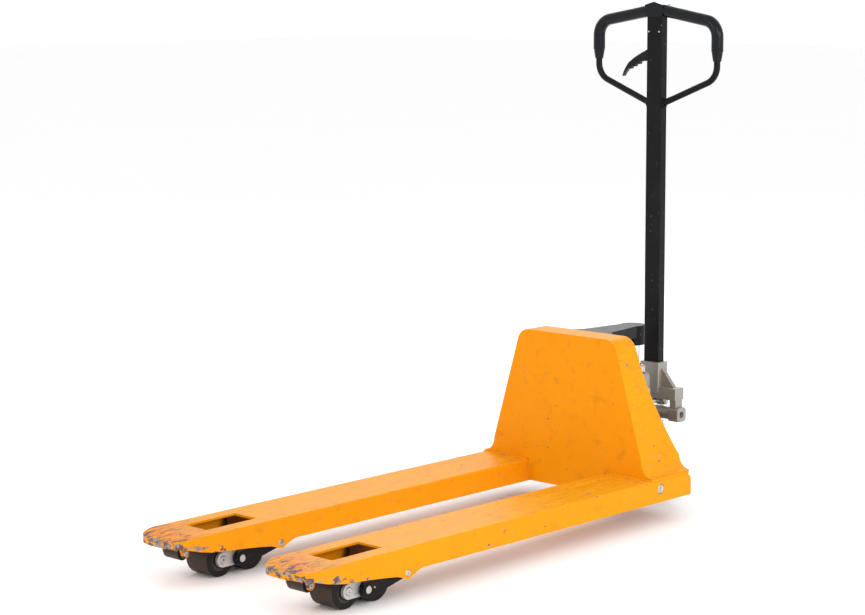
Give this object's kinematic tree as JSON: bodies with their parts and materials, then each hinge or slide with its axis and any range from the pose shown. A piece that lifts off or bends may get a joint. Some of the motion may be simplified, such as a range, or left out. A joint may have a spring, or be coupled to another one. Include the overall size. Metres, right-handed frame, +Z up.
{
  "type": "hand pallet truck",
  "caption": "Hand pallet truck: two forks on tandem load rollers, hydraulic pump head with twin steer wheels, and a tilting steering tiller with a loop handle.",
  "frame": {"origin": "middle of the footprint, on the floor that the wheels and rollers stand on", "axes": "+X forward to the fork tips, +Y to the left, +Z up"},
  "size_m": [1.542, 0.54, 1.239],
  "materials": {
    "yellow_paint": "semi-gloss enamel, worn at the edges",
    "black_coat": "satin powder coat",
    "black_plastic": "smooth moulded grip",
    "bare_casting": "bare cast steel",
    "machined_steel": "turned steel",
    "hard_chrome": "ground and hard chromed",
    "polyurethane_tread": "brownish grey polyurethane",
    "wheel_core": "dark cast core"
  },
  "bodies": {
    "base": {"base_bracket": "black_coat", "thrust_bearing": "machined_steel"},
    "steering_head": {"pump_body": "bare_casting", "cylinder_gland": "machined_steel", "filler_plug": "machined_steel", "steer_axle": "machined_steel", "tiller_pivot_pin": "machined_steel"},
    "release": {"release_lever": "machined_steel"},
    "plunger": {"pump_plunger": "hard_chrome", "plunger_spring": "machined_steel"},
    "tiller": {"tiller_yoke": "bare_casting", "tiller_tube": "black_coat", "handle_loop": "black_coat", "grip_cover": "black_plastic", "lever_pivot_pin": "machined_steel"},
    "cam_roller": {"cam_roller": "machined_steel"},
    "lever": {"control_lever": "black_plastic"},
    "rod": {"control_rod": "machined_steel"},
    "fork_frame": {"head_hood": "yellow_paint", "crosshead": "black_coat", "lift_ram": "hard_chrome", "fork_left": "yellow_paint", "arm_pivot_pin_left": "machined_steel", "entry_roller_pin_left": "machined_steel", "fork_right": "yellow_paint", "arm_pivot_pin_right": "machined_steel", "entry_roller_pin_right": "machined_steel"},
    "rocker": {"torsion_shaft": "machined_steel", "rocker_lever": "black_coat", "rocker_cross_pin": "machined_steel", "crank_left": "black_coat", "crank_pin_left": "machined_steel", "crank_right": "black_coat", "crank_pin_right": "machined_steel"},
    "steer_wheel_left": {"steer_tyre_left": "polyurethane_tread", "steer_hub_left": "wheel_core", "steer_bearing_left": "machined_steel"},
    "pushrod_left": {"pushrod_left": "machined_steel"},
    "load_arm_left": {"load_arm_left": "black_coat"},
    "bogie_left": {"bogie_frame_left": "bare_casting", "bogie_axle_left_front": "machined_steel", "bogie_axle_left_rear": "machined_steel"},
    "roller_left_front": {"roller_tyre_left_front": "polyurethane_tread", "roller_core_left_front": "wheel_core"},
    "roller_left_rear": {"roller_tyre_left_rear": "polyurethane_tread", "roller_core_left_rear": "wheel_core"},
    "entry_roller_left": {"entry_roller_left": "polyurethane_tread"},
    "steer_wheel_right": {"steer_tyre_right": "polyurethane_tread", "steer_hub_right": "wheel_core", "steer_bearing_right": "machined_steel"},
    "pushrod_right": {"pushrod_right": "machined_steel"},
    "load_arm_right": {"load_arm_right": "black_coat"},
    "bogie_right": {"bogie_frame_right": "bare_casting", "bogie_axle_right_front": "machined_steel", "bogie_axle_right_rear": "machined_steel"},
    "roller_right_front": {"roller_tyre_right_front": "polyurethane_tread", "roller_core_right_front": "wheel_core"},
    "roller_right_rear": {"roller_tyre_right_rear": "polyurethane_tread", "roller_core_right_rear": "wheel_core"},
    "entry_roller_right": {"entry_roller_right": "polyurethane_tread"}
  },
  "joints": [
    {"name": "steering", "type": "hinge", "parent": "base", "child": "steering_head", "pos_m": [-0.64, 0, 0.2], "axis": [0, 0, 1], "range_deg": [-95, 95]},
    {"name": "tiller_tilt", "type": "hinge", "parent": "steering_head", "child": "tiller", "pos_m": [-0.729, 0, 0.201], "axis": [0, -1, 0], "range_deg": [0, 75], "stiffness_Nm_per_rad": 50, "springref_deg": -8.59},
    {"name": "cam_roller_spin", "type": "hinge", "parent": "tiller", "child": "cam_roller", "pos_m": [-0.757, 0, 0.2225], "axis": [0, 1, 0], "continuous": true},
    {"name": "plunger_stroke", "type": "slide", "parent": "steering_head", "child": "plunger", "axis": [0, 0, -1], "range_m": [0, 0.0435], "deforming": ["plunger_spring"]},
    {"name": "lever_squeeze", "type": "hinge", "parent": "tiller", "child": "lever", "pos_m": [-0.729, 0.007, 1.125], "axis": [-1, 0, 0], "range_deg": [-10, 14], "stiffness_Nm_per_rad": 2},
    {"name": "rod_travel", "type": "slide", "parent": "tiller", "child": "rod", "axis": [0, 0, 1], "range_m": [-0.0024, 0.0034]},
    {"name": "release_turn", "type": "hinge", "parent": "steering_head", "child": "release", "pos_m": [-0.688, 0, 0.231], "axis": [0, 1, 0], "range_deg": [-3.2, 4.5]},
    {"name": "lift", "type": "slide", "parent": "base", "child": "fork_frame", "axis": [0, 0, 1], "range_m": [-0.028, 0.067]},
    {"name": "rocker_turn", "type": "hinge", "parent": "fork_frame", "child": "rocker", "pos_m": [-0.41, 0, 0.09], "axis": [0, 1, 0], "range_deg": [-42.5, 18.2]},
    {"name": "steer_wheel_left_spin", "type": "hinge", "parent": "steering_head", "child": "steer_wheel_left", "pos_m": [-0.64, 0.05, 0.085], "axis": [0, 1, 0], "continuous": true},
    {"name": "pushrod_left_swing", "type": "hinge", "parent": "rocker", "child": "pushrod_left", "pos_m": [-0.4159, 0.195, 0.0626], "axis": [0, 1, 0], "range_deg": [-18.2, 42.5]},
    {"name": "arm_left_swing", "type": "hinge", "parent": "fork_frame", "child": "load_arm_left", "pos_m": [0.466, 0.195, 0.056], "axis": [0, 1, 0], "range_deg": [-18.2, 42.5]},
    {"name": "bogie_left_level", "type": "hinge", "parent": "load_arm_left", "child": "bogie_left", "pos_m": [0.568, 0.195, 0.037], "axis": [0, 1, 0], "range_deg": [-42.5, 18.2]},
    {"name": "roller_left_front_spin", "type": "hinge", "parent": "bogie_left", "child": "roller_left_front", "pos_m": [0.613, 0.195, 0.04], "axis": [0, 1, 0], "continuous": true},
    {"name": "roller_left_rear_spin", "type": "hinge", "parent": "bogie_left", "child": "roller_left_rear", "pos_m": [0.523, 0.195, 0.04], "axis": [0, 1, 0], "continuous": true},
    {"name": "entry_roller_left_spin", "type": "hinge", "parent": "fork_frame", "child": "entry_roller_left", "pos_m": [0.711, 0.195, 0.07], "axis": [0, 1, 0], "continuous": true},
    {"name": "steer_wheel_right_spin", "type": "hinge", "parent": "steering_head", "child": "steer_wheel_right", "pos_m": [-0.64, -0.05, 0.085], "axis": [0, 1, 0], "continuous": true},
    {"name": "pushrod_right_swing", "type": "hinge", "parent": "rocker", "child": "pushrod_right", "pos_m": [-0.4159, -0.195, 0.0626], "axis": [0, 1, 0], "range_deg": [-18.2, 42.5]},
    {"name": "arm_right_swing", "type": "hinge", "parent": "fork_frame", "child": "load_arm_right", "pos_m": [0.466, -0.195, 0.056], "axis": [0, 1, 0], "range_deg": [-18.2, 42.5]},
    {"name": "bogie_right_level", "type": "hinge", "parent": "load_arm_right", "child": "bogie_right", "pos_m": [0.568, -0.195, 0.037], "axis": [0, 1, 0], "range_deg": [-42.5, 18.2]},
    {"name": "roller_right_front_spin", "type": "hinge", "parent": "bogie_right", "child": "roller_right_front", "pos_m": [0.613, -0.195, 0.04], "axis": [0, 1, 0], "continuous": true},
    {"name": "roller_right_rear_spin", "type": "hinge", "parent": "bogie_right", "child": "roller_right_rear", "pos_m": [0.523, -0.195, 0.04], "axis": [0, 1, 0], "continuous": true},
    {"name": "entry_roller_right_spin", "type": "hinge", "parent": "fork_frame", "child": "entry_roller_right", "pos_m": [0.711, -0.195, 0.07], "axis": [0, 1, 0], "continuous": true}
  ],
  "couplings": [
    {"joint": "plunger_stroke", "follows": "tiller_tilt", "m_per_rad": 0.0328},
    {"joint": "rod_travel", "follows": "lever_squeeze", "m_per_rad": 0.013},
    {"joint": "release_turn", "follows": "lever_squeeze", "ratio": 0.31},
    {"joint": "rocker_turn", "follows": "lift", "rad_per_m": -10.908},
    {"joint": "pushrod_left_swing", "follows": "lift", "rad_per_m": 10.908},
    {"joint": "arm_left_swing", "follows": "lift", "rad_per_m": 10.908},
    {"joint": "bogie_left_level", "follows": "lift", "rad_per_m": -10.908},
    {"joint": "pushrod_right_swing", "follows": "lift", "rad_per_m": 10.908},
    {"joint": "arm_right_swing", "follows": "lift", "rad_per_m": 10.908},
    {"joint": "bogie_right_level", "follows": "lift", "rad_per_m": -10.908}
  ]
}
